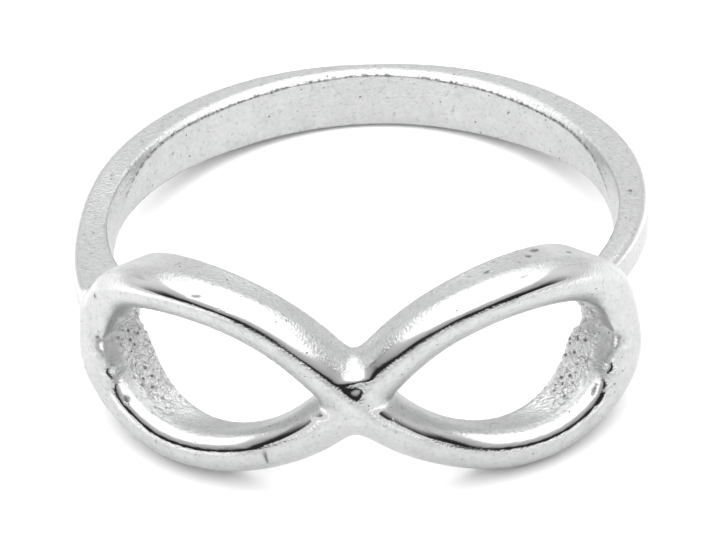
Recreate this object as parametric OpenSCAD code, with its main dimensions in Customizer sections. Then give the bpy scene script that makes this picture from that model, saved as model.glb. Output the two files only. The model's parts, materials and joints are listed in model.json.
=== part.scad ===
// Finger ring in cast silver: a plain shank whose front is a figure eight that follows the finger hole.
// The ring lies on its side, and rests on the two lower loops and on the shank's lower edge at the back.

/* [Finger hole] */
// Inside diameter
hole_d = 17.2; // [15:0.1:21]

/* [Shank] */
// Thickness at the back of the finger
shank_t_back = 1.1; // [0.9:0.05:1.5]
// Thickness at the sides
shank_t_side = 1.32; // [1.1:0.01:1.6]
// Width at the back, along the finger
shank_w_back = 2; // [1.6:0.02:2.4]
// Width at the shoulders, along the finger
shank_w_shoulder = 1.36; // [1.2:0.02:1.6]
// Rounding of the outer edges
shank_round = 0.35; // [0.2:0.05:0.5]
// Depth of the hollow inside each shoulder
relief_depth = 0.3; // [0.1:0.05:0.4]

/* [Figure eight] */
// Angle round the finger from the crossing to the end of each loop
loop_angle = 61.5; // [55:0.5:64]
// Height of the strand's centre above the middle of the figure eight
loop_rise = 3.26; // [2.8:0.02:3.6]
// How far the figure eight sits below the middle of the shank's width
loop_drop = 0.18; // [0:0.02:0.4]
// Width of the strand across its run
strand_w = 1.6; // [1.2:0.02:1.8]
// Thickness of the strand, outwards from the finger hole
strand_t = 1.84; // [1.6:0.02:2.2]
// How far the upper strand stands proud at the crossing
lap_over = 0.06; // [0:0.02:0.2]
// How far the lower strand dips under it
lap_under = 0.16; // [0.1:0.02:0.4]

/* [Hidden] */

hole_r = hole_d / 2;

// Shank: its outside is a circle whose centre lies a little towards the figure eight.
back_r = hole_r + shank_t_back;
side_r = hole_r + shank_t_side;
shank_shift = (side_r * side_r - back_r * back_r) / (2 * back_r);
shank_r = back_r + shank_shift;
taper_from_y = 5;
taper_to_y = 1;
round_steps = 4;

// Hollow inside each shoulder: a smaller circle that reaches past the finger hole at the side.
relief_r = 6;
relief_angle = 95;
relief_floor_z = -0.1;

// Figure eight: small higher waves make its loops fuller than a plain sine curve's.
third_wave = 0.04;
fourth_wave = 0.22;
fifth_wave = 0.04;
function wave_across(s) = sin(s) - third_wave * sin(3 * s) - fifth_wave * sin(5 * s);
function wave_up(s) = sin(2 * s) + fourth_wave * sin(4 * s);

// Unrolled centreline: s runs once round the eight, which crosses itself at 0 and 180 degrees.
angle_scale = loop_angle / wave_across(90);
rise_scale = loop_rise / max([for (s = [0:90]) wave_up(s)]);
function run_angle(s) = angle_scale * wave_across(s);
function run_z(s) = rise_scale * wave_up(s) - loop_drop;

// Strand section: the dome's share of its thickness, and how far its foot reaches into the finger hole
// before the hole is cut. The lower strand's foot is shorter, so that no two faces lie on each other.
dome = 0.46;
dome_steps = 8;
foot = 0.3;
foot_under = 0.24;

// Each strand runs from loop end to loop end and a little past. The lower one narrows towards its ends,
// so that they lie inside the upper one.
turn_step = 4;
past_end = 8;
shrink_from = 70;
shrink_to = 0.97;
lap_reach = 30;

// Metal that fills the corners between the strands.
web_r = 0.95;
web_t = 1.5;

mid_r = hole_r + strand_t / 2;
function run_point(s) = [mid_r * run_angle(s) * PI / 180, run_z(s)];
function heading(s) = let (d = run_point(s + 0.5) - run_point(s - 0.5)) d / norm(d);

// Share of the lap at s, for a crossing at the angle given: one there, none lap_reach degrees away.
function lap_share(s, crossing) =
    let (off = abs(s - crossing))
    off < lap_reach ? pow(cos(off * 90 / lap_reach), 2) : 0;

// Section of the strand, from one foot over the dome to the other: [across, outwards], in shares.
section = concat(
    [[1, 0]],
    [for (i = [0:dome_steps]) let (a = 180 * i / dome_steps) [cos(a), 1 - dome + dome * sin(a)]],
    [[-1, 0]]
);

// Ring of points round the strand at s. Its size is under one where an end hides in the other strand.
function strand_ring(s, thick, size, inside) = [
    for (p = section)
    let (
        ahead = heading(s),
        off = p[0] * size * strand_w / 2,
        angle = run_angle(s) - ahead[1] * off / mid_r * 180 / PI,
        r = p[1] == 0 ? hole_r - inside : hole_r + p[1] * thick * size
    )
    [r * sin(angle), -r * cos(angle), run_z(s) + ahead[0] * off]
];

// Half of the eight, through the crossing given, as a closed skin of rings.
module strand(crossing, lap, ends_size, inside) {
    reach = 90 + past_end;
    count = round(2 * reach / turn_step);
    n = len(section);
    rings = [
        for (i = [0:count])
        let (
            s = crossing - reach + 2 * reach * i / count,
            near_end = max(0, abs(s - crossing) - shrink_from) / (reach - shrink_from)
        )
        strand_ring(s, strand_t + lap * lap_share(s, crossing), 1 - (1 - ends_size) * near_end, inside)
    ];
    sides = [
        for (i = [0:count - 1], j = [0:n - 1])
        let (a = i * n + j, b = i * n + (j + 1) % n)
        each [[a, a + n, b + n], [a, b + n, b]]
    ];
    start = [for (j = [1:n - 2]) [0, j, j + 1]];
    finish = [for (j = [1:n - 2]) [count * n, count * n + j + 1, count * n + j]];
    polyhedron([for (ring = rings) each ring], concat(sides, start, finish), convexity = 6);
}

// Shank section in the half plane outwards of its axis: [radius, height].
shank_section = concat(
    [[hole_r - 1, -shank_w_back / 2]],
    [
        for (i = [0:round_steps])
        let (a = -90 + 90 * i / round_steps)
        [shank_r - shank_round * (1 - cos(a)), -shank_w_back / 2 + shank_round * (1 + sin(a))]
    ],
    [
        for (i = [0:round_steps])
        let (a = 90 * i / round_steps)
        [shank_r - shank_round * (1 - cos(a)), shank_w_back / 2 - shank_round * (1 - sin(a))]
    ],
    [[hole_r - 1, shank_w_back / 2]]
);

// Side view of the shank's taper: [y, half width].
taper = [
    [hole_d, shank_w_back / 2],
    [taper_from_y, shank_w_back / 2],
    [taper_to_y, shank_w_shoulder / 2],
    [-hole_d, shank_w_shoulder / 2]
];
taper_outline = concat(taper, [for (i = [len(taper) - 1:-1:0]) [taper[i][0], -taper[i][1]]]);

// Plan of the space in front of the shank, between its ends in the middle of the loops' outer strands.
front_span = [
    [0, 0],
    [hole_d * sin(loop_angle), -hole_d * cos(loop_angle)],
    [hole_d, -hole_d],
    [-hole_d, -hole_d],
    [-hole_d * sin(loop_angle), -hole_d * cos(loop_angle)]
];

module shank() {
    difference() {
        intersection() {
            translate([0, -shank_shift, 0]) rotate_extrude($fn = 128) polygon(shank_section);
            rotate([90, 0, 90]) linear_extrude(height = 3 * hole_d, center = true) polygon(taper_outline);
        }
        linear_extrude(height = hole_d, center = true) polygon(front_span);
    }
}

module shoulder_hollows() {
    for (side = [-1, 1])
        rotate([0, 0, side * relief_angle])
            translate([0, -(hole_r + relief_depth - relief_r), relief_floor_z])
                cylinder(r = relief_r, h = hole_d, $fn = 96);
}

module crossing_web() {
    rotate([90, 0, 0]) cylinder(r = web_r, h = hole_r + web_t, $fn = 48);
}

module finger_hole() {
    cylinder(r = hole_r, h = 2 * hole_d, center = true, $fn = 160);
}

// Rest on the surface: the tilt at which the loops and the back of the shank are equally low.
loop_points = [for (s = [0:turn_step / 2:360]) each strand_ring(s, strand_t, 1, 0)];
back_points = [for (p = shank_section) [0, p[0] - shank_shift, p[1]]];
function lowest(points, tilt) = min([for (p = points) p[2] * cos(tilt) - p[1] * sin(tilt)]);
steepest = 30;
function rest_tilt(low, high, tries) =
    let (mid = (low + high) / 2)
    tries == 0 ? mid
    : lowest(loop_points, mid) < lowest(back_points, mid) ? rest_tilt(mid, high, tries - 1)
    : rest_tilt(low, mid, tries - 1);
tilt = rest_tilt(0, steepest, 20);
lift = -lowest(back_points, tilt);
front_y = min([for (p = loop_points) p[1] * cos(tilt) + p[2] * sin(tilt)]);
back_y = max([for (p = back_points) p[1] * cos(tilt) + p[2] * sin(tilt)]);

module infinity_ring() {
    color("gainsboro")
        translate([0, -(front_y + back_y) / 2, lift])
            rotate([-tilt, 0, 0])
                difference() {
                    union() {
                        difference() {
                            shank();
                            shoulder_hollows();
                        }
                        strand(0, -lap_under, shrink_to, foot_under);
                        strand(180, lap_over, 1, foot);
                        crossing_web();
                    }
                    finger_hole();
                }
}

infinity_ring();
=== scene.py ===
"""Silver infinity ring: one cast ring with polish, grain, pits and oxide, painted shade in a crease and
painted light on its rough walls, on a pale table in soft light.
"""

import json
import math
from collections import namedtuple

import bpy
import numpy as np
from mathutils import Matrix, Vector


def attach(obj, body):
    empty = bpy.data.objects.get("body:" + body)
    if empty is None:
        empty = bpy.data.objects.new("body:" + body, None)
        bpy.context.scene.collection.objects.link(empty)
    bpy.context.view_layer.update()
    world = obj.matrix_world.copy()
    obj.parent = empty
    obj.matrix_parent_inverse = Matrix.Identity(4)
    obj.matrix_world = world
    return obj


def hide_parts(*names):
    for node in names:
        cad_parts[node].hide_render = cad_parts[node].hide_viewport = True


bl_info = {
    "name": "Infinity Ring",
    "version": (1, 0, 0),
    "blender": (4, 5, 0),
    "location": "3D View > Sidebar > Infinity Ring",
    "description": "Builds a cast silver infinity ring and the small stage it lies on",
    "category": "Object",
}

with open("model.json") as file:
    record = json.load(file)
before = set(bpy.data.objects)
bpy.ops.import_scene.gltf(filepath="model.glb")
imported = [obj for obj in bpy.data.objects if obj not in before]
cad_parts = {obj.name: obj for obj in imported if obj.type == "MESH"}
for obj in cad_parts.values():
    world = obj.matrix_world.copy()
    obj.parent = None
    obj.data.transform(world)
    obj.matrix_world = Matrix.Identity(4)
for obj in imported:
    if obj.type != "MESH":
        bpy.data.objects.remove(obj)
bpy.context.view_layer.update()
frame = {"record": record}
BORE = frame["record"]["mounts"][0]
MM = 0.001

# Lengths are in millimetres and angles in degrees from here on, where nothing else is said. A pair with a
# name that ends in FROM or TO is where something starts or ends, and over how much it grows or fades.

# The figure eight's strand, a row for each sixteenth of its run, from the crossing through the right loop
# and back to it. The left loop mirrors it. Shift and lean are outwards from the loop, wall is the height of
# the straight walls, and lower is how much lower and narrower the strand is in the left loop.
EightRow = namedtuple("EightRow", "run shift width thickness wall lower lean")
EIGHT = [
    EightRow(*row)
    for row in (
        (0, -0.15, 1.95, 1.65, 0.35, 0.0, 0.21),
        (22.5, -0.25, 1.8, 1.65, 0.8, 0.0, 0.2),
        (45, -0.1, 1.7, 1.85, 1.0, 0.1, 0.05),
        (67.5, -0.05, 1.45, 1.95, 1.3, 0.15, 0.0),
        (90, 0.1, 1.4, 2.1, 1.2, 0.0, 0.0),
        (112.5, 0.05, 1.95, 2.25, 1.45, 0.0, 0.0),
        (135, 0.0, 1.55, 1.85, 1.25, 0.0, -0.12),
        (157.5, -0.25, 1.6, 1.2, 0.5, 0.0, -0.18),
    )
]

# The shank, a row for each section. Slope is how far the slope inside cuts the top edge back, and
# slope_from is the height where it starts.
ShankRow = namedtuple("ShankRow", "degrees thickness slope top bottom slope_from")
SHANK = [
    ShankRow(*row)
    for row in (
        (-180, 0.8, 0.25, 1.2, -1.0, 1.1),
        (-145, 1.2, 0.3, 1.05, -1.0, 0.9),
        (-115, 1.25, 0.15, 1.0, -0.7, 0.75),
        (-88, 1.3, 0.2, 0.8, -0.35, -0.4),
        (-62, 1.8, 0.02, 0.8, -0.4, -0.7),
        (62, 0.7, 0.0, 1.0, -0.3, -0.7),
        (88, 1.15, 0.2, 1.05, -0.3, -0.4),
        (115, 1.45, 0.2, 1.05, -0.4, 0.75),
        (145, 1.25, 0.35, 1.1, -0.9, 0.95),
        (180, 0.8, 0.25, 1.2, -1.0, 1.1),
    )
]

# The rounding of the shank's edges, how far its section reaches into the finger hole before that is cut
# out, where the shank ends under the loops, and where its slope inside starts, with its least height.
SHANK_EDGE, SHANK_INWARDS, SHANK_END = 0.3, 1, 59.0
SLOPE_FROM, LEAST_SLOPE_HEIGHT = (60, 6), 0.05

# The figure eight's line: higher waves that make its loops fuller, how it sits on the shank, how far it is
# turned round the finger, and how quickly its reach changes from loop to loop.
THIRD_WAVE, FOURTH_WAVE, FIFTH_WAVE = 0.0375, 0.23, 0.042
LINE_LIFT, LINE_LEAN = -0.22, -0.11
EIGHT_TURN, LOOP_TURN = math.radians(1.0), 4.0

# How far outside the finger hole the cylinder lies that the line is unrolled from, the step of run along
# the line, and how many places are compared with it at a time.
UNROLLED_AT, LINE_STEP, BATCH = 1.09, 0.5, 20000

# The strand's section, a superellipse on straight walls, with least values that keep its distance sound.
SQUARENESS, LEAST_DOME, LEAST_SIZE, LEAST_STEEPNESS = 1.75, 0.2, 1e-6, 0.5

# The degrees of run at which the strands cross, how far a lap reaches from there, and how far each half of
# the eight does.
CROSSINGS = (0.0, 180.0)
LAP_REACH, HALF_REACH = 28.0, 115.0

# Rounding where the strands meet, low and high on them and at least, where it changes to the notches' own
# rounding and to the high one, and the rounding of the finger hole's edge.
SIDE_FILLET, LAP_FILLET, LEAST_FILLET = 0.3, 0.4, 0.01
NOTCH_FROM, LAP_FROM = (0.5, 0.4), (0.8, 0.5)
EDGE_ROUNDING = 0.08

# The strand in the loops' outer ends: how far from there that reaches, how much lower it is, how much
# squarer and wider at the top on the side inside the loop, the height of its rounded edge there, and how
# far inwards of the line all that is reached.
END_TO = (38.0, 30.0)
END_LOWER, END_SQUARER, END_OVERHANG, END_EDGE, END_INWARDS = 0.1, 1.0, 0.45, 0.35, 0.5

# The hollow cast behind each loop's outer end.
HOLLOW_DEPTH = 0.3
HOLLOW_FROM, HOLLOW_TO = (55.5, 3.5), (66.0, 6)
HOLLOW_UP_FROM, HOLLOW_UP_TO = (-1.0, 0.35), (0.5, 0.4)

# Rough casting on the lower walls inside the loops' outer ends: its relief, the radius that its waves are
# measured at, how close they are in radians for each millimetre, how far two of them bend, and how close
# those bends are.
CAST_RELIEF, CAST_RADIUS = 0.08, 9.5
WAVES_AROUND, WAVES_UP, WAVES_ACROSS = 17, 14, 9
BEND_AROUND, BEND_UP = 3, 4
BENDS_BY_HEIGHT, BENDS_BY_RADIUS, BENDS_BY_ANGLE = 8, 7, 3
ROUGH_INNER_FROM, ROUGH_RUN_TO = (0.2, 0.3), (50, 15)
ROUGH_BESIDE, ROUGH_BESIDE_OVER = 0.9, 0.2
ROUGH_HEIGHT_TO, ROUGH_UP_TO = (1.4, 0.5), (0.8, 0.6)


def ease(x):
    """Zero below 0, one above 1, and smooth between."""
    x = np.clip(x, 0, 1)
    return x * x * (3 - 2 * x)


def grows(x, start, over):
    """Zero up to start, and one from there plus over."""
    return ease((x - start) / over)


def fades(x, end, over):
    """Zero from end on, and one up to there less over."""
    return ease((end - x) / over)


def blend_low(a, b, reach):
    """The lower of a and b, with the corner between them rounded over reach."""
    gap = np.maximum(reach - np.abs(a - b), 0) / reach
    return np.minimum(a, b) - gap * gap * gap * reach / 6


def through(stations, values, x):
    """Smooth curve through the values at the stations, by cubic pieces."""
    stations, values = np.asarray(stations, float), np.asarray(values, float)
    slope = np.gradient(values, stations)
    i = np.clip(np.searchsorted(stations, x, side="right") - 1, 0, len(stations) - 2)
    span = stations[i + 1] - stations[i]
    t = (x - stations[i]) / span
    start = values[i] * (1 + 2 * t) + span * slope[i] * t
    end = values[i + 1] * (3 - 2 * t) + span * slope[i + 1] * (t - 1)
    return start * (1 - t) ** 2 + end * t * t


def round_trip(column, run, right=1, left=1):
    """Smooth closed curve through one of EIGHT's columns, times right or left in that loop."""
    rows = []
    for i in (-1, 0, 1, 2):
        share = left if i % 2 else right
        rows += [(row.run + 180 * i, getattr(row, column) * share) for row in EIGHT]
    return through(*zip(*rows), np.mod(run, 360.0))


def along_shank(column, degrees):
    """Smooth curve through one of SHANK's columns."""
    return through([row.degrees for row in SHANK], [getattr(row, column) for row in SHANK], degrees)


def lumps(angle, up, radius):
    """Rough casting: a sum of three crossing waves, two of them bent, from -1 to 1."""
    x, y, z = CAST_RADIUS * angle, up, radius
    around = np.sin(WAVES_AROUND * x + BEND_AROUND * np.sin(BENDS_BY_HEIGHT * y))
    rising = np.sin(WAVES_UP * y + BEND_UP * np.sin(BENDS_BY_RADIUS * z + BENDS_BY_ANGLE * x))
    return (around + rising + np.sin(WAVES_ACROSS * (x + y + z))) / 3


# Dents and dark specks in the skin, full up to MARK_CORE half sizes from the middle, and gone one further.
Mark = namedtuple("Mark", "degrees up radius half_length half_height lean")
MARKS = [
    Mark(*row)
    for row in (
        (43.1, 3.55, 8.93, 0.16, 0.07, 0),
        (49.5, 3.2, 9.48, 0.16, 0.06, 10),
        (40.2, 3.65, 9.17, 0.07, 0.07, 0),
        (29.9, 3.65, 9.17, 0.1, 0.06, 20),
        (36.4, 3.5, 9.96, 0.28, 0.06, -10),
        (118.6, 0.5, 9.02, 0.1, 0.07, 0),
        (95.3, 1.05, 9.23, 0.07, 0.06, 0),
        (-126.8, 0.95, 9.14, 0.1, 0.06, 0),
        (-132.4, 0.95, 9.13, 0.07, 0.06, 0),
        (-30.2, 3.4, 10.1, 0.4, 0.06, 15),
        (-21.5, 3.15, 10.05, 0.28, 0.06, -35),
        (-17.6, -2.7, 9.62, 0.05, 0.25, 5),
        (-48.5, -2.05, 10.31, 0.12, 0.1, -30),
        (50.3, -2.15, 10.3, 0.22, 0.06, 50),
        (-55.3, 1.6, 10.5, 0.07, 0.06, 0),
        (-55.6, -0.1, 10.5, 0.1, 0.05, 30),
    )
]
MARK_CORE = 0.8


def marks(degrees, up, radius):
    """Share of dent or dark speck."""
    share = 0
    for mark in MARKS:
        across = np.radians(degrees - mark.degrees) * mark.radius
        over, out = up - mark.up, radius - mark.radius
        turn = math.radians(mark.lean)
        along = (across * math.cos(turn) + over * math.sin(turn)) / mark.half_length
        beside = (over * math.cos(turn) - across * math.sin(turn)) / mark.half_height
        away = np.sqrt(along**2 + beside**2 + (out / mark.half_height) ** 2)
        share = np.maximum(share, ease(1 + MARK_CORE - away))
    return share


def ahead_of(across, up):
    """Steps across and up from before to after each point of the closed line, and their length."""
    ahead, ahead_up = np.roll(across, -1) - np.roll(across, 1), np.roll(up, -1) - np.roll(up, 1)
    return ahead, ahead_up, np.hypot(ahead, ahead_up)


# A point against half of the eight: how far it lies to the line's side, its run from the crossing, the
# strand's sizes there, how far it lies inwards of the line, and its length along the line.
Strand = namedtuple("Strand", "side off width thickness wall lean inner along")


class RingForm:
    """The ring as a distance in millimetres, below zero inside. Its finger axis is up, the eight in front."""

    def __init__(self, sizes):
        self.hole = sizes.hole_diameter / MM / 2
        self.wider, self.thicker = sizes.strand_wider / MM, sizes.strand_thicker / MM
        self.unrolled = self.hole + UNROLLED_AT
        self.laps = (-sizes.lap_under / MM, sizes.lap_over / MM)
        self.notch, self.fillet = sizes.notch_fillet / MM, sizes.shank_fillet / MM
        run = np.arange(0, 360, LINE_STEP)
        across, up = self.plain_line(run, sizes)
        ahead, ahead_up, length = ahead_of(across, up)
        shift = round_trip("shift", run, 1, -1) + round_trip("lower", run, 0, 1)
        across, up = across - ahead_up / length * shift, up + ahead / length * shift
        ahead, ahead_up, length = ahead_of(across, up)
        step = np.hypot(np.roll(across, -1) - across, np.roll(up, -1) - up)
        so_far = np.concatenate([[0], np.cumsum(step)[:-1]])
        self.line = np.stack([run, across, up, ahead / length, ahead_up / length, length, so_far])

    def plain_line(self, run, sizes):
        """The figure eight's line on the unrolled cylinder, in millimetres across and up."""
        s = np.radians(run)
        right = 0.5 * (1 + np.tanh(LOOP_TURN * np.sin(s)))
        reach = sizes.left_reach + (sizes.right_reach - sizes.left_reach) * right
        angle = reach * (np.sin(s) - THIRD_WAVE * np.sin(3 * s) - FIFTH_WAVE * np.sin(5 * s))
        rise = sizes.loop_rise / MM
        up = rise * (np.sin(2 * s) + FOURTH_WAVE * np.sin(4 * s)) + LINE_LIFT + LINE_LEAN * np.sin(angle)
        return self.unrolled * (angle + EIGHT_TURN), up

    def strands(self, angle, up):
        """Both strands as they are nearest to each point: the lower one, then the upper one."""
        found = []
        for crossing, lap in zip(CROSSINGS, self.laps):
            off = np.mod(self.line[0] - crossing + 180, 360) - 180
            reached = np.abs(off) <= HALF_REACH
            half = self.line[:, reached][:, np.argsort(off[reached])]
            found.append(self.nearest(half, crossing, lap, angle * self.unrolled, up))
        return found

    def nearest(self, half, crossing, lap, across, up):
        """Each point against the nearest place on half of the eight's line, and against its end past that."""
        run, line_across, line_up, ahead, ahead_up, length, so_far = half
        near = np.empty(len(across), int)
        for i in range(0, len(across), BATCH):
            part = slice(i, i + BATCH)
            gaps = (across[part, None] - line_across) ** 2 + (up[part, None] - line_up) ** 2
            near[part] = gaps.argmin(1)
        da, du = across - line_across[near], up - line_up[near]
        past_end = (near == 0) | (near == len(run) - 1)
        along = np.where(past_end, 0, da * ahead[near] + du * ahead_up[near])
        side = du * ahead[near] - da * ahead_up[near]
        side = np.where(past_end, np.copysign(np.hypot(da, du), side), side)
        place = run[near] + along / length[near]
        off = np.mod(place - crossing + 180, 360) - 180
        proud = lap * np.where(np.abs(off) < LAP_REACH, np.cos(off / LAP_REACH * np.pi / 2) ** 2, 0)
        return Strand(
            side=side,
            off=off,
            width=self.wider + round_trip("width", place) - round_trip("lower", place, 0, 1),
            thickness=self.thicker + round_trip("thickness", place) + proud,
            wall=self.thicker + round_trip("wall", place),
            lean=round_trip("lean", place, 1, -1),
            inner=-side * np.sign(np.sin(np.radians(place))),
            along=so_far[near] + along,
        )

    def strand(self, it, height):
        """Distance from one strand's section: straight walls, then a dome. In the loops' outer ends its inner
        side is squarer and overhangs."""
        inside = fades(np.abs(np.abs(it.off) - 90), *END_TO)
        thickness = it.thickness - END_LOWER * inside
        inside = inside * ease(it.inner / END_INWARDS)
        wall = np.minimum(it.wall, thickness - LEAST_DOME)
        wall = wall + (thickness - END_EDGE - wall) * inside
        square = SQUARENESS + END_SQUARER * inside
        raised = np.clip(height / thickness, 0, 1) ** 2
        half, dome = it.width / 2 + END_OVERHANG * inside * raised, thickness - wall
        x, y = np.abs(it.side - it.lean * raised) / half, np.maximum(height - wall, 0) / dome
        size = np.maximum((x**square + y**square) ** (1 / square), LEAST_SIZE)
        slope = np.hypot(x ** (square - 1) / half, y ** (square - 1) / dome) / size ** (square - 1)
        return (size - 1) / np.maximum(slope, LEAST_STEEPNESS / np.maximum(half, dome))

    def shank(self, degrees, up, radius):
        """Distance from the shank's section, which reaches into the finger hole and has rounded edges."""
        outer, inner = self.hole + along_shank("thickness", degrees), self.hole - SHANK_INWARDS
        top, bottom = along_shank("top", degrees), along_shank("bottom", degrees)
        out = np.abs(radius - (outer + inner) / 2) - (outer - inner) / 2 + SHANK_EDGE
        over = np.abs(up - (top + bottom) / 2) - (top - bottom) / 2 + SHANK_EDGE
        corner = np.hypot(np.maximum(out, 0), np.maximum(over, 0))
        section = corner + np.minimum(np.maximum(out, over), 0) - SHANK_EDGE
        return np.maximum(section, np.radians(SHANK_END - np.abs(degrees)) * self.unrolled)

    def inside(self, degrees, up):
        """Radius of the finger hole, with the slope inside the shank and the hollows behind the loops."""
        top, start = along_shank("top", degrees), along_shank("slope_from", degrees)
        raised = np.clip((up - start) / np.maximum(top - start, LEAST_SLOPE_HEIGHT), 0, 1)
        slope = np.clip(along_shank("slope", degrees), 0, 1) * raised
        angle = np.abs(degrees)
        hollow = HOLLOW_DEPTH * grows(angle, *HOLLOW_FROM) * fades(angle, *HOLLOW_TO)
        hollow = hollow * grows(up, *HOLLOW_UP_FROM) * fades(up, *HOLLOW_UP_TO)
        return self.hole + slope * grows(angle, *SLOPE_FROM) + hollow

    def roughness(self, strands, height, up):
        """Share of rough casting: on the lower walls inside the loops' outer ends."""
        share = 0
        for it in strands:
            beside = fades(np.abs(it.side), it.width / 2 + ROUGH_BESIDE, ROUGH_BESIDE_OVER)
            inside_wall = grows(it.inner, *ROUGH_INNER_FROM) * beside
            share = np.maximum(share, inside_wall * fades(np.abs(np.abs(it.off) - 90), *ROUGH_RUN_TO))
        return share * fades(height, *ROUGH_HEIGHT_TO) * fades(up, *ROUGH_UP_TO)

    def distance(self, angle, up, radius, strands=None):
        """Distance from the whole ring, with the strands at these points if they are known."""
        strands = self.strands(angle, up) if strands is None else strands
        height = radius - self.hole
        under, over = (self.strand(it, height) for it in strands)
        near = np.prod([np.cos(np.radians(it.off)) ** 2 for it in strands], axis=0)
        notch = grows(np.abs(up), *NOTCH_FROM)
        low = SIDE_FILLET + (self.notch - SIDE_FILLET) * notch
        high = LAP_FILLET + (self.notch - LAP_FILLET) * notch
        fillet = near * (low + (high - low) * grows(height, *LAP_FROM)) + LEAST_FILLET
        degrees = np.degrees(angle)
        metal = blend_low(blend_low(under, over, fillet), self.shank(degrees, up, radius), self.fillet)
        metal = metal + CAST_RELIEF * self.roughness(strands, height, up) * lumps(angle, up, radius)
        return -blend_low(-metal, radius - self.inside(degrees, up), EDGE_ROUNDING)


def skin(values):
    """Corners, in steps of the grid, and four-sided faces of the zero surface. The first axis wraps round."""
    total, crossed, cuts = np.zeros(values.shape + (3,)), np.zeros(values.shape), []
    for axis in range(3):
        ahead = np.roll(values, -1, axis)
        cut = (values < 0) != (ahead < 0)
        share = np.where(cut, values / np.where(cut, values - ahead, 1), 0)
        one, two = (a for a in range(3) if a != axis)
        for i, j in ((0, 0), (0, 1), (1, 0), (1, 1)):
            here = np.roll(cut, (-i, -j), (one, two))
            total[..., axis] += np.roll(share, (-i, -j), (one, two))
            total[..., one] += i * here
            total[..., two] += j * here
            crossed += here
        cuts.append((cut, one, two))
    used = crossed > 0
    index = np.full(values.shape, -1)
    index[used] = np.arange(used.sum())
    corners = np.argwhere(used) + total[used] / crossed[used][:, None]
    faces = []
    for axis, (cut, one, two) in enumerate(cuts):
        at = np.argwhere(cut)
        ring = []
        for i, j in ((1, 1), (0, 1), (0, 0), (1, 0)):
            cell = at.copy()
            cell[:, one] -= i
            cell[:, two] -= j
            ring.append(index[tuple(cell.T)])
        four = np.stack(ring, 1)
        flip = (values[cut] < 0) == (axis == 1)
        four[flip] = four[flip][:, ::-1]
        faces.append(four)
    return corners, np.concatenate(faces)


def cylinder_place(angle, up, radius):
    """Points in the ring's own frame, from their angle from the front, height and radius."""
    return np.stack([radius * np.sin(angle), -radius * np.cos(angle), up], 1)


# Half height and depth of the space that the surface is looked for in, its steps into the finger hole, and
# the step for slopes. Then the rounds and the least squared slope for drawing the surface onto the form.
GRID_HEIGHT, GRID_DEPTH, GRID_INWARDS, PROBE = 4.4, 2.9, 2.5, 0.01
DRAW_ROUNDS, LEAST_SQUARED_SLOPE = 3, 0.2


def slopes(form, angle, up, radius):
    """Distance at each point, and its slopes round, up and outwards."""
    here = form.distance(angle, up, radius)
    return (
        here,
        (form.distance(angle + PROBE / radius, up, radius) - here) / PROBE,
        (form.distance(angle, up + PROBE, radius) - here) / PROBE,
        (form.distance(angle, up, radius + PROBE) - here) / PROBE,
    )


def ring_skin(form, step):
    """The ring's surface as points (angle, height, radius) and faces, drawn onto the form after the grid."""
    turns = round(2 * math.pi * form.unrolled / step)
    angles = -math.pi + 2 * math.pi * np.arange(turns) / turns
    ups = np.arange(-GRID_HEIGHT, GRID_HEIGHT + step, step)
    radii = np.arange(form.hole - GRID_INWARDS * step, form.hole + GRID_DEPTH, step)
    angle, up = (g.ravel() for g in np.meshgrid(angles, ups, indexing="ij"))
    strands = form.strands(angle, up)
    values = [form.distance(angle, up, np.full(len(up), r), strands) for r in radii]
    corners, faces = skin(np.stack(values, 1).reshape(turns, len(ups), len(radii)))
    angle = -math.pi + 2 * math.pi * corners[:, 0] / turns
    up, radius = ups[0] + corners[:, 1] * step, radii[0] + corners[:, 2] * step
    for _ in range(DRAW_ROUNDS):
        here, around, rising, outwards = slopes(form, angle, up, radius)
        move = here / np.maximum(around**2 + rising**2 + outwards**2, LEAST_SQUARED_SLOPE)
        move = np.clip(move, -step / 2, step / 2)
        angle, up, radius = angle - move * around / radius, up - move * rising, radius - move * outwards
    return angle, up, radius, faces


def ring_tilt():
    """Turn from the ring's own frame to the row frame."""
    return Vector((0, 0, 1)).rotation_difference(Vector(BORE["axis"])).to_matrix()


def to_row(points):
    """Points of the ring's own frame, in millimetres, as places in the row frame, in metres."""
    return points @ np.array(ring_tilt()).T * MM + np.array(BORE["pos_m"])


# Numbers of the Mix node's sockets for colours.
MIX_FIRST, MIX_SECOND, MIX_RESULT = 6, 7, 2


class Wire:
    """A socket that takes part in sums. Each operator adds one Math node."""

    def __init__(self, finish, socket):
        self.finish, self.socket = finish, socket

    def sum(self, operation, *values):
        return self.finish.add("ShaderNodeMath", {"operation": operation}, dict(enumerate(values)))

    def __add__(self, other):
        return self.sum("ADD", self, other)

    def __sub__(self, other):
        return self.sum("SUBTRACT", self, other)

    def __rsub__(self, other):
        return self.sum("SUBTRACT", other, self)

    def __mul__(self, other):
        return self.sum("MULTIPLY", self, other)

    def most(self, other):
        return self.sum("MAXIMUM", self, other)

    __radd__, __rmul__ = __add__, __mul__


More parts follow.
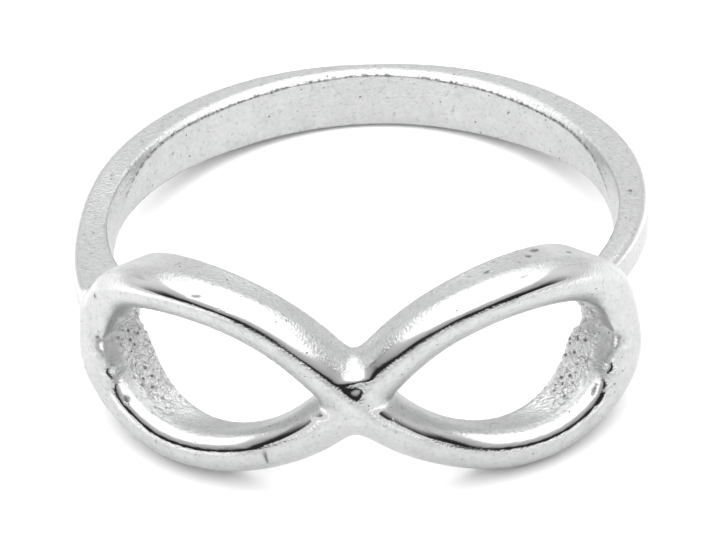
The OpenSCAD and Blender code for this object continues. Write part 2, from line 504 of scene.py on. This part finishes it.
class Finish:
    """The nodes of a material or of the world, each made by one method."""

    def __init__(self, painted):
        self.tree = painted.node_tree

    def add(self, kind, settings=None, sockets=None, output=0):
        made = self.tree.nodes.new(kind)
        for name, value in (settings or {}).items():
            setattr(made, name, value)
        for name, value in (sockets or {}).items():
            if isinstance(value, Wire):
                self.tree.links.new(value.socket, made.inputs[name])
            else:
                made.inputs[name].default_value = value
        return Wire(self, made.outputs[output])

    def feed(self, wire, node, socket):
        """Link a wire to a socket of one of the tree's first nodes."""
        self.tree.links.new(wire.socket, self.tree.nodes[node].inputs[socket])

    def mark(self, name, output="Fac"):
        """A value or vector kept on the mesh's corners."""
        return self.add("ShaderNodeAttribute", {"attribute_name": name}, output=output)

    def ramp(self, value, start, end, low=0.0, high=1.0):
        """Smooth step of value from start to end, onto low to high."""
        sockets = {"Value": value, "From Min": start, "From Max": end, "To Min": low, "To Max": high}
        return self.add("ShaderNodeMapRange", {"interpolation_type": "SMOOTHSTEP"}, sockets)

    def noise(self, place, scale, detail):
        """Noise from 0 to 1, with 0.5 as its middle."""
        return self.add("ShaderNodeTexNoise", {}, {"Vector": place, "Scale": scale, "Detail": detail})

    def specks(self, place, scale):
        """Distance to the nearest of many scattered points."""
        return self.add("ShaderNodeTexVoronoi", {}, {"Vector": place, "Scale": scale}, "Distance")

    def stretch(self, place, amounts):
        return self.add("ShaderNodeVectorMath", {"operation": "MULTIPLY"}, {0: place, 1: amounts})

    def blend(self, share, first, second):
        """Mix of two colours."""
        settings = {"data_type": "RGBA"}
        sockets = {"Factor": share, MIX_FIRST: first, MIX_SECOND: second}
        return self.add("ShaderNodeMix", settings, sockets, output=MIX_RESULT)

    def bump(self, height):
        """A normal that follows a height in metres."""
        sockets = {"Height": height * (1 / MM), "Distance": MM, "Strength": 1.0}
        return self.add("ShaderNodeBump", {}, sockets, "Normal")


# Polish on the strand starts where that faces outwards and upwards. It fades from some degrees of run past
# the crossing, other ones low and high on the ring. Brushing starts nearer to the crossing.
FACING_FROM, RISE_FROM = (0.5, 0.15), (0.18, 0.16)
FADE_LOW, FADE_HIGH, FADE_OVER, FADE_LOST = 64.0, 40.0, 18, 0.85
UPPER_FROM, BRUSHED_FROM = (-0.5, 1), (6, 10)

# The width over which the finish changes at the strand's edge, and the worn edges off the strand.
STRAND_EDGE = 0.2
WORN_FROM, WORN_POLISH = (0.15, 0.2), 0.55

# Painted shade: a dark line in the crease under the shank's inner slope. Where it starts, and its reach in
# half sizes.
CREASE_FROM, CREASE_REACH, CREASE_HALF_HEIGHT, CREASE_HALF_DEPTH = (98, 8), 1.3, 0.06, 0.1


def ring_marks(form, angle, up, radius):
    """What the finish needs at each corner: its place, its place on the strand, how polished, marked, rough
    or brushed it is, and its painted shade in the crease under the shank's inner slope."""
    under, over = strands = form.strands(angle, up)
    height = radius - form.hole
    gaps = [form.strand(it, height) for it in strands]
    upper = gaps[1] < gaps[0]
    side, off, along = (
        np.where(upper, getattr(over, name), getattr(under, name)) for name in ("side", "off", "along")
    )
    _, around, rising, outwards = slopes(form, angle, up, radius)
    size = np.sqrt(around**2 + rising**2 + outwards**2)
    facing, rise = outwards / size, rising / size
    degrees = np.degrees(angle)
    on_strand = ease((form.shank(degrees, up, radius) - np.minimum(*gaps)) / STRAND_EDGE + 0.5)
    # Painted shade: a dark line along the crease under the shank's inner slope, towards the back.
    crease = ease(CREASE_REACH - np.abs(up - along_shank("slope_from", degrees)) / CREASE_HALF_HEIGHT)
    crease = crease * ease(CREASE_REACH - np.abs(height) / CREASE_HALF_DEPTH)
    from_crossing = 90 - np.abs(np.abs(off) - 90)
    fade_from = FADE_LOW + (FADE_HIGH - FADE_LOW) * grows(up, *UPPER_FROM)
    buffed = grows(facing, *FACING_FROM) * grows(rise, *RISE_FROM)
    buffed = buffed * (1 - FADE_LOST * grows(from_crossing, fade_from, FADE_OVER))
    worn_edge = (1 - on_strand) * grows(facing, *WORN_FROM) * grows(rise, *WORN_FROM)
    return {
        "place": cylinder_place(angle, up, radius),
        "strand": np.stack([along, side, height], 1),
        "polish": np.maximum(on_strand * buffed, WORN_POLISH * worn_edge),
        "marks": marks(degrees, up, radius),
        "rough_cast": form.roughness(strands, height, up),
        "oxide": crease * grows(np.abs(degrees), *CREASE_FROM),
        "brushed": on_strand * grows(from_crossing, *BRUSHED_FROM),
    }


# Textures of the silver. Noises have a scale, per millimetre, and a detail, and specks a scale. Stretches
# are along the strand, to its side and outwards.
GRAIN, TOOTH, MOTTLE = (11.0, 4.0), (7.0, 6.0), (1.4, 4.0)
PIT_CLUSTERS, STAINS, FLECKS = (1.1, 1.0), (4.5, 6.0), (7.0, 2.0)
STREAKS, WIDE_STREAKS = (1.0, 2.0), (1.0, 1.0)
STREAK_STRETCH, WIDE_STRETCH = (0.5, 2.2, 2.2), (0.25, 1.0, 1.0)
PIT_SPECKS, CAST_PIT_SPECKS = 3.0, 3.6

# Edges: the values of a noise, or the distances from a speck, between which a mark comes or goes.
CLUSTER_EDGE, PIT_EDGE = (0.46, 0.62), (0.07, 0.13)
CAST_CLUSTER_EDGE, CAST_PIT_EDGE = (0.4, 0.5), (0.16, 0.28)
STAIN_EDGE, FLECK_EDGE, STREAK_EDGE, CREASE_SHADE_EDGE = (0.62, 0.76), (0.62, 0.72), (0.6, 0.72), (0.46, 0.56)

# Shares of the dark colour in each kind of mark, painted shade in the crease among them, and of patina's in
# the satin. The last is how much patina the rough walls lose: painted light on walls that lie in shade.
STAIN_DARK, FLECK_DARK, STREAK_DARK, PIT_DARK, CREASE_SHADE_DARK, DENT_DARK = 0.45, 0.18, 0.4, 0.8, 0.9, 0.95
CREASE_SHADE_LEAST = 0.3
MOTTLE_IN_PATINA, PATINA_SPREAD, PATINA_SHARE, CAST_PAINTED_LIGHT = 0.3, 0.7, 0.68, 0.85

# What the textures add to the roughness, and their shares in the bump. Satin is brushed a little as well.
MOTTLE_ROUGH, CAST_ROUGH, CAST_ROUGH_MIDDLE = 0.2, 0.8, 0.55
PIT_ROUGH, DENT_ROUGH, STREAK_ROUGH = 0.3, 0.2, 0.06
GRAIN_POLISHED_OFF, CAST_BUMP, WIDE_BUMP, DENT_BUMP, SATIN_BRUSHED = 0.96, 10.0, 5.0, 0.3, 0.3


def silver(look):
    """Cast silver: satin skin with fine grain and pits, polished domes, oxide in its pits, painted shade in
    the crease under the shank's inner slope, and painted light on the rough walls that lie in shade.
    """
    material = bpy.data.materials.new("cast_silver")
    material.use_nodes = True
    finish = Finish(material)
    finish.tree.nodes["Principled BSDF"].inputs["Metallic"].default_value = 1.0
    place, strand = finish.mark("place", "Vector"), finish.mark("strand", "Vector")
    polish, rough_cast = finish.mark("polish"), finish.mark("rough_cast")
    oxide, dents = finish.mark("oxide"), finish.mark("marks")
    brushed = finish.mark("brushed") * (polish * (1 - SATIN_BRUSHED) + SATIN_BRUSHED)

    grain, tooth, mottle = (finish.noise(place, *sizes) for sizes in (GRAIN, TOOTH, MOTTLE))
    streaks = finish.noise(finish.stretch(strand, STREAK_STRETCH), *STREAKS)
    wide_streaks = finish.noise(finish.stretch(strand, WIDE_STRETCH), *WIDE_STREAKS)
    pits = finish.ramp(finish.specks(place, PIT_SPECKS), *PIT_EDGE, 1.0, 0.0)
    pits = pits * finish.ramp(finish.noise(place, *PIT_CLUSTERS), *CLUSTER_EDGE)
    cast_pits = finish.ramp(finish.specks(place, CAST_PIT_SPECKS), *CAST_PIT_EDGE, 1.0, 0.0) * rough_cast
    pits = pits.most(cast_pits * finish.ramp(mottle, *CAST_CLUSTER_EDGE))
    # Painted shade in the crease, broken up by the tooth.
    oxide = oxide * (finish.ramp(tooth, *CREASE_SHADE_EDGE) * (1 - CREASE_SHADE_LEAST) + CREASE_SHADE_LEAST)
    stains = finish.ramp(finish.noise(place, *STAINS), *STAIN_EDGE) * STAIN_DARK
    flecks = finish.ramp(finish.noise(place, *FLECKS), *FLECK_EDGE) * FLECK_DARK

    clean, patina, dark = ((*c, 1) for c in (look.silver_colour, look.patina_colour, look.oxide_and_shade_colour))
    dulled = mottle * MOTTLE_IN_PATINA + tooth * (1 - MOTTLE_IN_PATINA) - 0.5
    dulled = dulled * PATINA_SPREAD + PATINA_SHARE
    # Painted light: the rough walls inside the loops' outer ends lie in shade, so they lose most of their
    # patina and are painted lighter.
    colour = finish.blend(dulled * (1 - polish.most(rough_cast * CAST_PAINTED_LIGHT)), clean, patina)
    lines = finish.ramp(streaks, *STREAK_EDGE) * STREAK_DARK * brushed
    stained_and_shaded = (stains.most(flecks) * (1 - polish)).most(lines)
    stained_and_shaded = stained_and_shaded.most(pits * PIT_DARK).most(oxide * CREASE_SHADE_DARK).most(dents * DENT_DARK)
    finish.feed(finish.blend(stained_and_shaded, colour, dark), "Principled BSDF", "Base Color")

    satin = look.satin_roughness + (mottle - 0.5) * MOTTLE_ROUGH
    rough = satin + (look.polished_roughness - satin) * polish
    rough = rough + (tooth - CAST_ROUGH_MIDDLE) * CAST_ROUGH * rough_cast
    rough = rough + pits * PIT_ROUGH + dents * DENT_ROUGH + (streaks - 0.5) * STREAK_ROUGH * polish
    finish.feed(rough, "Principled BSDF", "Roughness")

    height = (grain - 0.5) * look.grain_depth * (1 - GRAIN_POLISHED_OFF * polish)
    height = height + (tooth - 0.5) * look.grain_depth * CAST_BUMP * rough_cast
    height = height + (streaks - 0.5) * look.streak_depth * brushed
    height = height + (wide_streaks - 0.5) * look.streak_depth * WIDE_BUMP * brushed
    height = height - pits * look.pit_depth - dents * look.pit_depth * DENT_BUMP
    finish.feed(finish.bump(height), "Principled BSDF", "Normal")
    return material


# The table's half size in metres, and its paint's tooth and roughness.
TABLE_HALF = 0.4
TABLE_TOOTH, TABLE_ROUGH, TABLE_ROUGH_SPREAD = (300.0, 2.0), 0.6, 0.2


def table_paint(look):
    """Matt pale paint with the faintest tooth."""
    paint = bpy.data.materials.new("pale_table")
    paint.use_nodes = True
    finish = Finish(paint)
    finish.tree.nodes["Principled BSDF"].inputs["Base Color"].default_value = (*look.table_colour, 1)
    place = finish.add("ShaderNodeTexCoord", output="Object")
    rough = finish.noise(place, *TABLE_TOOTH) * TABLE_ROUGH_SPREAD + TABLE_ROUGH
    finish.feed(rough, "Principled BSDF", "Roughness")
    return paint


# The room's light, by the sine of the height above the horizon: how softly the dark gap ends to the sides
# and below, how dark it is, and a reach and a share for each shade above it. Then the ceiling's light.
SIDE_OVER, BOTTOM_OVER, GAP_DARK = 0.3, 0.02, 0.97
GAP_SHADES = ((0.1, 0.42), (0.45, 0.58))
CEILING_EDGE = (0.55, 0.75)


def room(look):
    """The room's light: pale walls, brighter overhead, and in front a dark gap a little above the table."""
    world = bpy.data.worlds.new("studio_room")
    bpy.context.scene.world = world
    world.use_nodes = True
    finish = Finish(world)
    way = finish.add("ShaderNodeTexCoord", output="Generated")
    towards, height = (finish.add("ShaderNodeSeparateXYZ", {}, {0: way}, axis) for axis in ("Y", "Z"))
    gap = finish.ramp(towards, SIDE_OVER, -SIDE_OVER)
    gap = gap * finish.ramp(height, look.gap_bottom - BOTTOM_OVER, look.gap_bottom)
    top = look.gap_top
    near, far = (finish.ramp(height, top, top + reach, share, 0.0) for reach, share in GAP_SHADES)
    ceiling = finish.ramp(height, *CEILING_EDGE, 0.0, look.ceiling_light)
    level = (1 - GAP_DARK * (gap * (near + far))) * look.wall_light + ceiling
    finish.feed(level, "Background", "Color")


def length(name, description, default, precision=5):
    """A property for a size in metres."""
    kind = {"subtype": "DISTANCE", "unit": "LENGTH"}
    return bpy.props.FloatProperty(
        name=name, description=description, default=default, precision=precision, **kind
    )


def turn(name, description, default):
    """A property for an angle, given in degrees."""
    return bpy.props.FloatProperty(
        name=name, description=description, default=math.radians(default), subtype="ANGLE", unit="ROTATION"
    )


def number(name, description, default):
    """A property for a plain number from 0 to 10."""
    return bpy.props.FloatProperty(name=name, description=description, default=default, min=0, max=10)


def tint(name, description, default):
    """A property for a colour."""
    return bpy.props.FloatVectorProperty(
        name=name, description=description, default=default, subtype="COLOR", min=0, max=1
    )


class RingSizes(bpy.types.PropertyGroup):
    hole_diameter: length("Hole", "Inside diameter", BORE["dims"]["r_mm"] * 2 * MM)
    strand_wider: length("Wider strand", "Added to the strand's width", 0.0)
    strand_thicker: length("Thicker strand", "Added to the strand's thickness", 0.0)
    loop_rise: length("Loop rise", "Height of the strand's line over its middle", 0.003015)
    left_reach: turn("Left reach", "Angle to the left loop's end", 61.7)
    right_reach: turn("Right reach", "Angle to the right loop's end", 61.1)
    lap_over: length("Lap over", "How far the upper strand stands proud at the crossing", 0.00006)
    lap_under: length("Lap under", "How far the lower strand dips there", 0.00016)
    notch_fillet: length("Notch fillet", "Rounding above and below the crossing", 0.0009)
    shank_fillet: length("Shank fillet", "Rounding between the shank and the loops", 0.00058)
    skin_step: length("Skin step", "Size of the surface's faces", 0.00008)


class SilverLook(bpy.types.PropertyGroup):
    silver_colour: tint("Silver", "Clean metal", (0.7, 0.705, 0.7))
    patina_colour: tint("Patina", "Faintly dulled metal", (0.37, 0.375, 0.375))
    # The dark colour: oxide in pits, stains, flecks, streaks and dents, and painted shade in the crease under
    # the shank's inner slope.
    oxide_and_shade_colour: tint("Oxide", "Dark metal in pits and corners", (0.1, 0.1, 0.1))
    polished_roughness: number("Polished", "Roughness of the domes", 0.05)
    satin_roughness: number("Satin", "Roughness of the flanks", 0.36)
    grain_depth: length("Grain", "Depth of the fine grain", 0.000025, 6)
    streak_depth: length("Streaks", "Waviness of the polish", 0.00001, 6)
    pit_depth: length("Pits", "Depth of the pits", 0.00004, 6)


class StageLook(bpy.types.PropertyGroup):
    table_colour: tint("Table", "Pale table top", (0.86, 0.86, 0.86))
    gap_bottom: number("Gap bottom", "Lower edge of the dark gap in front, as a sine", 0.15)
    gap_top: number("Gap top", "Upper edge of the dark gap, as a sine", 0.3)
    wall_light: number("Walls", "Brightness of the pale walls", 0.95)
    ceiling_light: number("Ceiling", "Extra brightness overhead", 2.0)
    lamp_power: bpy.props.FloatProperty(
        name="Lamp", description="Power of the soft lamp", default=0.02, subtype="POWER", unit="POWER"
    )
    camera_distance: length("Camera distance", "From the camera to the ring", 0.17214)
    camera_lens: bpy.props.FloatProperty(
        name="Lens", description="Focal length in millimetres", default=248.8
    )


def new_object(name, data):
    made = bpy.data.objects.new(name, data)
    bpy.context.scene.collection.objects.link(made)
    return made


# The lamp, in metres, and the camera: its sensor's width, its nearest and farthest view in metres, its
# angles in the ring's own frame, and how far the ring's middle is off its line.
LAMP_SIZE, LAMP_PLACE = 0.16, (-0.05, 0.02, 0.2)
SENSOR_WIDTH, CLIP_START, CLIP_END = 36, 0.01, 10
AZIMUTH, ELEVATION, ROLL = (math.radians(a) for a in (4.54, 33.82, -3.27))
SIDEWAYS, UPWARDS = 0.05, 1.31


def camera_place(distance):
    """The camera at the photograph's angle, from its place in the ring's own frame."""
    level = math.cos(ELEVATION)
    back = Vector((math.sin(AZIMUTH) * level, -math.cos(AZIMUTH) * level, math.sin(ELEVATION)))
    right = Vector((math.cos(AZIMUTH), math.sin(AZIMUTH), 0))
    turned = Matrix((right, back.cross(right), back)).transposed() @ Matrix.Rotation(ROLL, 3, "Z")
    centre = back * distance - turned.col[0] * SIDEWAYS - turned.col[1] * UPWARDS
    tilt = ring_tilt()
    return Matrix.Translation(tilt @ centre * MM + Vector(BORE["pos_m"])) @ (tilt @ turned).to_4x4()


def add_table(look):
    mesh = bpy.data.meshes.new("table")
    corners = [(TABLE_HALF * x, TABLE_HALF * y, 0) for x, y in ((-1, -1), (1, -1), (1, 1), (-1, 1))]
    mesh.from_pydata(corners, [], [(0, 1, 2, 3)])
    mesh.materials.append(table_paint(look))
    new_object("table", mesh)


def add_lamp(look):
    lamp = bpy.data.lights.new("soft_lamp", "AREA")
    lamp.shape, lamp.size, lamp.energy = "DISK", LAMP_SIZE, look.lamp_power
    made = new_object("soft_lamp", lamp)
    made.location = LAMP_PLACE
    made.rotation_euler = (-made.location).to_track_quat("-Z", "Y").to_euler()


def add_camera(look):
    camera = bpy.data.cameras.new("camera")
    camera.lens, camera.sensor_width = look.camera_lens, SENSOR_WIDTH
    camera.clip_start, camera.clip_end = CLIP_START, CLIP_END
    eye = new_object("camera", camera)
    eye.matrix_world = camera_place(look.camera_distance / MM)
    bpy.context.scene.camera = eye


class INFINITY_OT_cast_ring(bpy.types.Operator):
    """Make the silver ring with its finish"""

    bl_idname = "infinity_ring.cast_ring"
    bl_label = "Cast Ring"

    def execute(self, context):
        sizes, look = context.scene.ring_sizes, context.scene.silver_look
        form = RingForm(sizes)
        angle, up, radius, faces = ring_skin(form, sizes.skin_step / MM)
        mesh = bpy.data.meshes.new("silver_ring")
        mesh.from_pydata(to_row(cylinder_place(angle, up, radius)), [], faces.tolist())
        if mesh.validate():
            raise RuntimeError("the ring's mesh had to be mended")
        mesh.shade_smooth()
        for name, values in ring_marks(form, angle, up, radius).items():
            kind, field = ("FLOAT_VECTOR", "vector") if values.ndim == 2 else ("FLOAT", "value")
            mark = mesh.attributes.new(name, kind, "POINT")
            mark.data.foreach_set(field, values.astype(np.float32).ravel())
        mesh.materials.append(silver(look))
        ring = new_object("silver_ring", mesh)
        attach(ring, "root")
        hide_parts("infinity_ring")
        return {"FINISHED"}


class INFINITY_OT_lay_stage(bpy.types.Operator):
    """Lay the table and set the light and the camera"""

    bl_idname = "infinity_ring.lay_stage"
    bl_label = "Lay Stage"

    def execute(self, context):
        look = context.scene.stage_look
        context.scene.view_settings.view_transform = "Standard"
        add_table(look)
        room(look)
        add_lamp(look)
        add_camera(look)
        return {"FINISHED"}


class INFINITY_PT_maker(bpy.types.Panel):
    bl_label = "Infinity Ring"
    bl_idname = "INFINITY_PT_maker"
    bl_space_type = "VIEW_3D"
    bl_region_type = "UI"
    bl_category = "Infinity Ring"

    def draw(self, context):
        for name, group in GROUPS.items():
            for value in group.__annotations__:
                self.layout.prop(getattr(context.scene, name), value)
        for operator in OPERATORS:
            self.layout.operator(operator.bl_idname)


GROUPS = {"ring_sizes": RingSizes, "silver_look": SilverLook, "stage_look": StageLook}
OPERATORS = (INFINITY_OT_cast_ring, INFINITY_OT_lay_stage)
CLASSES = (*GROUPS.values(), *OPERATORS, INFINITY_PT_maker)


def register():
    for made in CLASSES:
        bpy.utils.register_class(made)
    for name, group in GROUPS.items():
        setattr(bpy.types.Scene, name, bpy.props.PointerProperty(type=group))


def unregister():
    for name in GROUPS:
        delattr(bpy.types.Scene, name)
    for made in reversed(CLASSES):
        bpy.utils.unregister_class(made)


def main():
    register()
    bpy.ops.infinity_ring.cast_ring()
    bpy.ops.infinity_ring.lay_stage()


if __name__ == "__main__":
    main()
